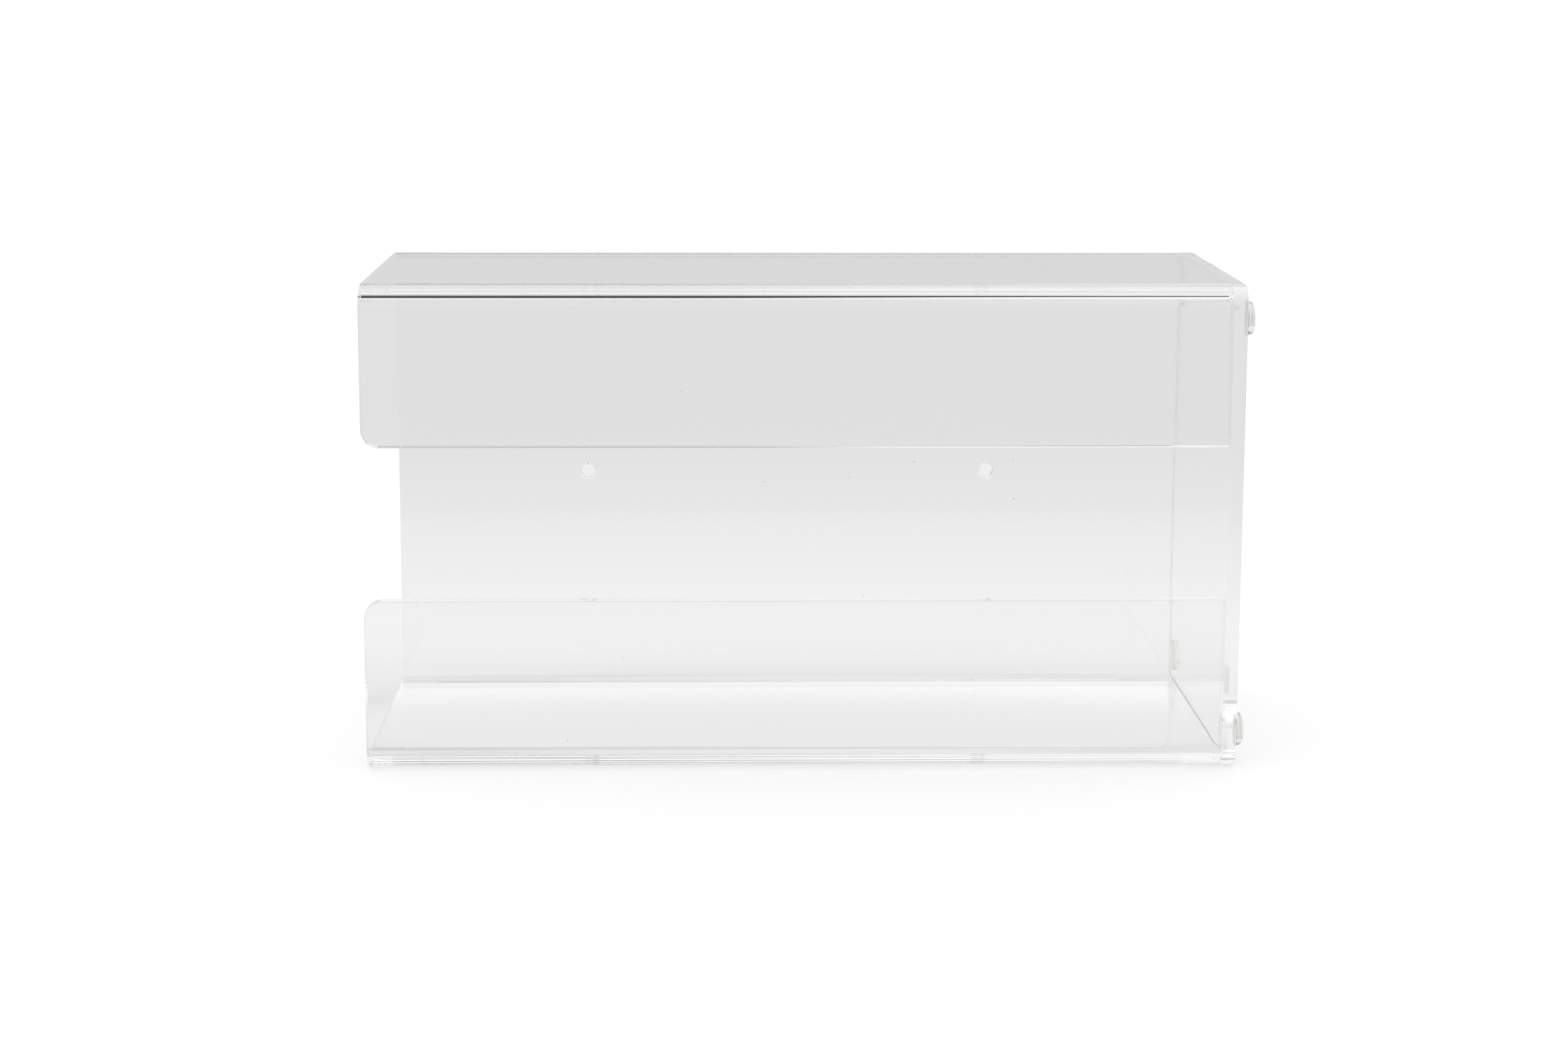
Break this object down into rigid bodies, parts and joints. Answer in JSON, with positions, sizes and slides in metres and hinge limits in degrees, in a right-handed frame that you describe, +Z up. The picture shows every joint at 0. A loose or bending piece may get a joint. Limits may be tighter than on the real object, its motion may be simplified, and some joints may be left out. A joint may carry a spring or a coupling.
{
  "type": "card deck box",
  "caption": "Clear acrylic holder for a row of boxed card decks: open at one end, slotted along its front, with a flat end panel on small clear feet.",
  "frame": {"origin": "middle of the footprint at the level of the underside, with the feet on the closed end counted in", "axes": "+X from the open end to the closed end, along the row of decks; +Y to the wall side, away from the front slot; +Z up"},
  "size_m": [0.1838, 0.074, 0.102],
  "materials": {
    "acrylic": "clear polished acrylic sheet",
    "cement": "clear solvent cement with small bubbles",
    "foot": "clear soft polyurethane",
    "adhesive": "clear pressure-sensitive adhesive"
  },
  "bodies": {
    "root": {"channel": "acrylic", "end_panel": "acrylic", "cement_seam": "cement", "foot_bottom_front": "foot", "foot_bottom_back": "foot", "foot_top_front": "foot", "foot_top_back": "foot", "foot_adhesive_bottom_front": "adhesive", "foot_adhesive_bottom_back": "adhesive", "foot_adhesive_top_front": "adhesive", "foot_adhesive_top_back": "adhesive"}
  },
  "joints": []
}
